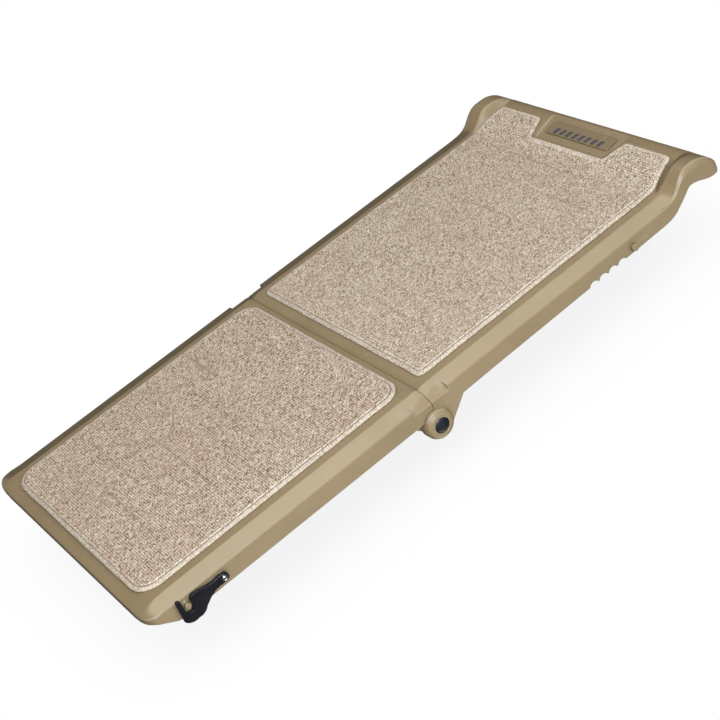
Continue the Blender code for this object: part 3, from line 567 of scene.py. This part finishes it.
def lattice_cells(low, high, inner, inner_tree):
    """The pile lattice's whole cells, and its points used by them, clear of the innermost ring."""
    columns = int((high[0] - low[0]) / ROW) + 2
    rows = int((high[1] - low[1]) / LOOP) + 2
    grid_i, grid_j = np.meshgrid(np.arange(columns), np.arange(rows), indexing="ij")
    lattice = np.stack((low[0] + grid_i * ROW, low[1] + grid_j * LOOP), -1).reshape(-1, 2)
    keep = inside(lattice, inner)
    for index in np.nonzero(keep)[0]:
        if inner_tree.find((*lattice[index], 0.0))[2] < RING_GAP:
            keep[index] = False
    keep = keep.reshape(columns, rows)
    cell = keep[:-1, :-1] & keep[1:, :-1] & keep[:-1, 1:] & keep[1:, 1:]
    used = np.zeros_like(keep)
    for i, j in ((0, 0), (1, 0), (0, 1), (1, 1)):
        used[i:columns - 1 + i, j:rows - 1 + j] |= cell
    return cell, used


def strip_faces(low, inner, cell, number):
    """Triangles between the innermost ring and the lattice's stepped edge."""
    count = len(inner)
    padded = np.pad(cell, 1)
    rim = set()
    links = []
    for i, j in zip(*np.nonzero(cell)):
        for di, dj, a, b in ((-1, 0, (0, 0), (0, 1)), (1, 0, (1, 0), (1, 1)), (0, -1, (0, 0), (1, 0)),
                             (0, 1, (0, 1), (1, 1))):
            if not padded[i + 1 + di, j + 1 + dj]:
                first, second = (i + a[0], j + a[1]), (i + b[0], j + b[1])
                rim.update((first, second))
                links.append((first, second))
    rim = sorted(rim)
    place = {vertex: count + index for index, vertex in enumerate(rim)}
    flat_points = [Vector(p) for p in inner]
    flat_points += [Vector((low[0] + i * ROW, low[1] + j * LOOP)) for i, j in rim]
    sides = [(index, (index + 1) % count) for index in range(count)]
    sides += [(place[a], place[b]) for a, b in links]
    out_points, _, out_faces, origin, _, _ = delaunay_2d_cdt(flat_points, sides, [], 0, 1e-7)
    ids = []
    for sources in origin:
        source = sources[0]
        ids.append((len(SERGED) - 1) * count + source if source < count else number[rim[source - count]])
    middles = np.array([[sum(out_points[v][k] for v in face) / 3 for k in (0, 1)] for face in out_faces])
    in_ring = inside(middles, inner)
    cell_i = np.floor((middles[:, 0] - low[0]) / ROW).astype(int)
    cell_j = np.floor((middles[:, 1] - low[1]) / LOOP).astype(int)
    faces = []
    for index, face in enumerate(out_faces):
        i, j = cell_i[index], cell_j[index]
        covered = 0 <= i < cell.shape[0] and 0 <= j < cell.shape[1] and cell[i, j]
        if in_ring[index] and not covered:
            faces.append(tuple(int(ids[v]) for v in face))
    return faces


def add_loops(parts, low, used, creases, draw):
    """The pile: loops stand up at every other lattice point, staggered from row to row, and creases dip. A
    loop's tone follows its height: painted light on the crowns, painted shade lower down.
    """
    ui, uj = np.nonzero(used)
    is_row = ui % 2 == 0
    crown = is_row & ((uj + (ui // 2) % 2) % 2 == 0)
    between = is_row & ~crown
    total = len(ui)
    pile = np.where(crown, 5.25, np.where(between, 4.35, 3.95)) * MM + draw.normal(0, 0.20 * MM, total)
    # Tone by height is painted light on the crowns and painted shade on the lower points; the random part is
    # the yarn's own.
    tone = np.where(crown, 0.82, np.where(between, 0.52, 0.30)) + draw.normal(0, 0.24, total)
    xy = np.stack((low[0] + ui * ROW, low[1] + uj * LOOP), -1)
    fold = np.zeros(total)
    for x, y, length, depth in creases:
        across = np.abs(xy[:, 0] - x - 0.8 * MM * np.sin((xy[:, 1] - y) * 25.0)) / (1.3 * MM)
        along = np.abs(xy[:, 1] - y) / (length / 2)
        fold = np.maximum(fold, depth * np.exp(-across ** 2) * np.clip(1.4 - 1.4 * along ** 2, 0, 1))
    shift = np.stack((draw.uniform(-0.42, 0.42, total) * ROW, draw.uniform(-0.42, 0.42, total) * LOOP), -1)
    parts.add(xy + shift, height=pile - fold * 1.1 * MM, tone=tone, crease=fold)


def add_backing(parts, first, edge, low, high, inner_tree):
    """The backing: the edge again and a coarse lattice inside it, numbered from first. Returns its faces."""
    count = len(edge)
    backing = np.array([(x, y) for x in np.arange(low[0] + 8 * MM, high[0], 8 * MM)
                        for y in np.arange(low[1] + 20 * MM, high[1], 24 * MM)])
    clear = np.array([inner_tree.find((*p, 0.0))[2] > BACKING_MARGIN for p in backing])
    points = [Vector(p) for p in edge] + [Vector(p) for p in backing[inside(backing, edge) & clear]]
    sides = [(i, (i + 1) % count) for i in range(count)]
    _, _, under, origin, _, _ = delaunay_2d_cdt(points, sides, [], 0, 1e-7)
    plan = np.array([tuple(p) for p in points])
    ids = [sources[0] for sources in origin]
    in_edge = inside(np.array([plan[[ids[v] for v in face]].mean(0) for face in under]), edge)
    faces = [tuple(first + ids[v] for v in reversed(face)) for face, kept in zip(under, in_edge) if kept]
    for index in range(count):
        after = (index + 1) % count
        faces.append((index, first + index, first + after, after))
    parts.add(plan, tone=0.4)
    return faces


def carpet(name, node, body, corners, material, creases, seed):
    """A closed loop-pile carpet on the CAD carpet's underside. Returns it with its flat length and width."""
    draw = np.random.default_rng(seed)
    line_x, line_z = surface_line(node)
    edge, inward, share = rounded_outline(corners)
    count = len(edge)
    window = np.hanning(41) / np.hanning(41).sum()
    ripple = np.convolve(draw.normal(0, 1, count + 40), window, "valid")[:count]
    edge = edge - inward * (ripple * 0.9 * MM)[:, None]
    low, high = edge.min(0), edge.max(0)
    parts = Parts()
    inner = edge_rings(parts, edge, inward, share, draw)
    inner_tree = KDTree(count)
    for index, point in enumerate(inner):
        inner_tree.insert((*point, 0.0), index)
    inner_tree.balance()
    cell, used = lattice_cells(low, high, inner, inner_tree)
    number = -np.ones(used.shape, int)
    number[used] = np.arange(used.sum()) + count * len(SERGED)
    faces = ring_faces(count)
    ci, cj = np.nonzero(cell)
    quads = np.stack((number[ci, cj], number[ci + 1, cj], number[ci + 1, cj + 1], number[ci, cj + 1]), -1)
    faces += [tuple(quad) for quad in quads.tolist()]
    faces += strip_faces(low, inner, cell, number)
    add_loops(parts, low, used, creases, draw)
    faces += add_backing(parts, count * len(SERGED) + int(used.sum()), edge, low, high, inner_tree)
    # Everything is laid on the tread's line.
    plan, lift = np.concatenate(parts.plan), parts.joined("height")
    base = np.interp(plan[:, 0], line_x, line_z)
    slope = np.interp(plan[:, 0], line_x, np.gradient(line_z, line_x))
    scale = 1.0 / np.sqrt(1.0 + slope ** 2)
    points = np.stack((plan[:, 0] - slope * scale * lift, plan[:, 1], base + scale * lift), -1)
    mesh = bpy.data.meshes.new(name)
    mesh.from_pydata(points.tolist(), [], faces)
    for key in ("tone", "border", "stitch", "crease"):
        values = np.clip(parts.joined(key), 0, 1)
        mesh.attributes.new(key, "FLOAT", "POINT").data.foreach_set("value", values)
    mesh.shade_smooth()
    form = bmesh.new()
    form.from_mesh(mesh)
    bmesh.ops.recalc_face_normals(form, faces=form.faces)
    form.to_mesh(mesh)
    form.free()
    made = add_piece(name, mesh, material, body, (node,))
    top = np.unique(np.round(np.linspace(low[0], high[0], 400), 6))
    run = np.hypot(np.diff(top), np.diff(np.interp(top, line_x, line_z))).sum()
    return made, run, high[1] - low[1]


low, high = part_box("lower_carpet")
LOWER_CORNERS = ((low.x, low.y, 0.032, 1.0), (high.x, low.y, 0.030, 1.0),
                 (high.x, high.y, 0.030, 1.0), (low.x, high.y, 0.032, 1.0))
# Creases across a carpet: the middle's X and Y, the length along Y, and the depth from 0 to 1.
LOWER_CREASES = ((-0.300, -0.03, 0.28, 0.8), (-0.212, 0.02, 0.22, 0.6), (-0.360, 0.07, 0.20, 0.7),
                 (-0.135, -0.06, 0.20, 0.6), (-0.252, -0.13, 0.12, 0.7), (-0.398, -0.05, 0.22, 0.7),
                 (-0.090, 0.09, 0.16, 0.6), (-0.172, 0.14, 0.10, 0.8))
lower_piece, length, width = carpet("lower_loop_carpet", "lower_carpet", "lower", LOWER_CORNERS, lower_pile,
                                    LOWER_CREASES, 11)

low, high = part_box("upper_carpet")
UPPER_CORNERS = ((low.x, low.y, 0.011, 1.0), (0.406, low.y, 0.030, 0.7), (high.x, -0.1885, 0.006, 0.15),
                 (high.x, -0.0990, 0.0045, 0.0), (0.4215, -0.0845, 0.009, 0.0), (0.4215, 0.0845, 0.009, 0.0),
                 (high.x, 0.0990, 0.0045, 0.0), (high.x, 0.1885, 0.006, 0.15), (0.406, high.y, 0.030, 0.7),
                 (low.x, high.y, 0.011, 1.0))
UPPER_CREASES = ((0.052, -0.03, 0.28, 0.6), (0.121, 0.04, 0.24, 0.6), (0.203, -0.05, 0.20, 0.6),
                 (0.272, 0.02, 0.30, 0.6), (0.331, -0.08, 0.16, 0.7), (0.384, 0.02, 0.24, 0.6),
                 (0.090, 0.13, 0.10, 0.7), (0.240, 0.14, 0.12, 0.6))
upper_piece, length, width = carpet("upper_loop_carpet", "upper_carpet", "upper", UPPER_CORNERS, upper_pile,
                                    UPPER_CREASES, 23)


# ---------------------------------------------------------------- camera, lights and stage

def aim_camera(eye, target, roll, lens):
    """A camera at the eye, turned by roll about its line to the target, with a lens in millimetres."""
    ahead = (Vector(target) - Vector(eye)).normalized()
    right = ahead.cross(Vector((0, 0, 1))).normalized()
    down = ahead.cross(right)
    across = right * math.cos(roll) + down * math.sin(roll)
    below = -right * math.sin(roll) + down * math.cos(roll)
    turn = Matrix((across, -below, -ahead)).transposed()
    data = bpy.data.cameras.new("camera")
    data.lens, data.sensor_width = lens, 36
    made = bpy.data.objects.new("camera", data)
    made.matrix_world = Matrix.Translation(eye) @ turn.to_4x4()
    bpy.context.scene.collection.objects.link(made)
    bpy.context.scene.camera = made


aim_camera((-0.70195, -1.937, 1.3143), (-0.02155, -0.0391, 0.0345), 0.4741, 87.7)

FLOOR_HEIGHT = -0.030  # just under the lower panel when it is folded
FLOOR_HALF = 9.0
SHADE_REACH = 0.30     # how far the faint shade spreads on the floor


def pale_floor():
    """A pale floor with a faint shade under the ramp. It is clear from below, so that the underside shows."""
    mesh = bpy.data.meshes.new("floor")
    corners = [(x * FLOOR_HALF, y * FLOOR_HALF, 0) for x, y in ((-1, -1), (1, -1), (1, 1), (-1, 1))]
    mesh.from_pydata(corners, [], [(0, 1, 2, 3)])
    made = bpy.data.objects.new("floor", mesh)
    made.location.z = FLOOR_HEIGHT
    bpy.context.scene.collection.objects.link(made)
    s = Shader("pale_floor", 0.9)
    pale = s.ramp(s.occlusion(SHADE_REACH, 16), (0.15, (0.88, 0.88, 0.89)), (0.90, (1.0, 1.0, 1.0)))
    pale = s.mix(s.spread(s.noise(3.0), 0.3, 0.7, 0.0, 0.02), pale, (0.9, 0.9, 0.9))
    glow = s.node("ShaderNodeEmission", Color=pale).outputs["Emission"]
    clear = s.node("ShaderNodeBsdfTransparent").outputs["BSDF"]
    sided = s.node("ShaderNodeMixShader", Fac=s.node("ShaderNodeNewGeometry").outputs["Backfacing"])
    s.link(glow, sided.inputs[1])
    s.link(clear, sided.inputs[2])
    s.link(sided.outputs["Shader"], s.tree.nodes["Material Output"].inputs["Surface"])
    mesh.materials.append(s.material)
    made.visible_diffuse = made.visible_glossy = made.visible_shadow = False
    return made


floor = pale_floor()


def area_light(name, place, target, size, power, colour):
    """A square lamp, size metres on a side, turned to the target."""
    data = bpy.data.lights.new(name, "AREA")
    data.shape, data.size, data.energy, data.color = "SQUARE", size, power, colour
    made = bpy.data.objects.new(name, data)
    made.location = place
    made.rotation_euler = (Vector(place) - Vector(target)).to_track_quat("Z", "Y").to_euler()
    bpy.context.scene.collection.objects.link(made)


def studio_world():
    """A dim, even light all round, which the camera sees as white."""
    world = bpy.data.worlds.new("studio")
    bpy.context.scene.world = world
    world.use_nodes = True
    tree = world.node_tree
    ambient = tree.nodes["Background"]
    ambient.inputs["Color"].default_value = (0.96, 0.98, 1.0, 1.0)
    ambient.inputs["Strength"].default_value = 0.10
    backdrop = tree.nodes.new("ShaderNodeBackground")
    backdrop.inputs["Color"].default_value = (1.0, 1.0, 1.0, 1.0)
    backdrop.inputs["Strength"].default_value = 1.0
    rays = tree.nodes.new("ShaderNodeLightPath")
    blend = tree.nodes.new("ShaderNodeMixShader")
    tree.links.new(rays.outputs["Is Camera Ray"], blend.inputs["Fac"])
    tree.links.new(ambient.outputs["Background"], blend.inputs[1])
    tree.links.new(backdrop.outputs["Background"], blend.inputs[2])
    tree.links.new(blend.outputs["Shader"], tree.nodes["World Output"].inputs["Surface"])


AIM = (0, 0, 0.05)
WARM = (1.0, 0.93, 0.82)
area_light("key", (-0.6, -2.9, 1.75), AIM, 0.9, 128.0, (0.82, 0.87, 0.98))
area_light("top", (-0.5, 0.0, 3.3), AIM, 0.9, 18.0, WARM)
area_light("rim", (0.9, 1.8, 2.4), AIM, 1.2, 7.0, WARM)
area_light("under", (0.0, -0.6, -2.6), AIM, 1.6, 22.0, (1.0, 0.97, 0.93))
studio_world()

bpy.context.scene.view_settings.view_transform = "Standard"

bpy.context.view_layer.update()
